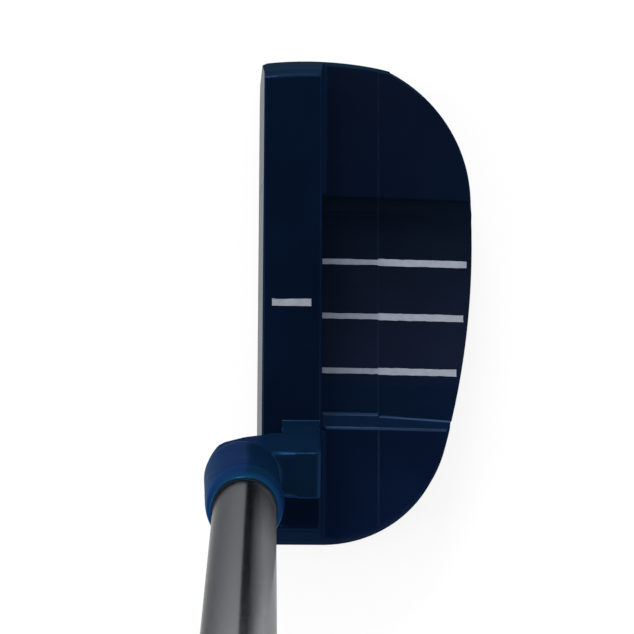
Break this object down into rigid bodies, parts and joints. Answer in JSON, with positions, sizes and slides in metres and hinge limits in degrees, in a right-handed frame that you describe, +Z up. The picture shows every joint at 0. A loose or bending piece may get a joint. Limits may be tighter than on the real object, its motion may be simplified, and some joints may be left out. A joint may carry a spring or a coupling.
{
  "type": "mallet putter",
  "caption": "Right-handed mallet putter: blue painted D-shaped head with white sight lines, plumber's neck, stepped steel shaft and pistol grip.",
  "frame": {"origin": "middle of the sole's flat on the ground, straight below the centre sight line", "axes": "+Z up from the ground; -Y where the face looks, towards the target; +X from the sight line to the heel and the player, -X to the toe"},
  "size_m": [0.3767, 0.0531, 0.8145],
  "materials": {
    "blue_paint": "gloss metallic paint",
    "milled_face": "milled",
    "adhesive_film": "matt",
    "screw_steel": "satin",
    "white_paint": "satin paint fill",
    "plated_steel": "bright plated",
    "epoxy": "cured, dark",
    "plug_plastic": "matt",
    "grip_rubber": "textured",
    "tape": "woven tape",
    "cap_rubber": "smooth"
  },
  "bodies": {
    "root": {"head_body": "blue_paint", "face_insert": "milled_face", "insert_bond": "adhesive_film", "hosel_neck": "blue_paint", "neck_screw": "screw_steel", "topline_sight_line": "white_paint", "toe_sight_line": "white_paint", "centre_sight_line": "white_paint", "heel_sight_line": "white_paint", "shaft": "plated_steel", "hosel_epoxy": "epoxy", "shaft_tip_plug": "plug_plastic", "grip": "grip_rubber", "grip_tape": "tape", "grip_cap": "cap_rubber"}
  },
  "joints": []
}
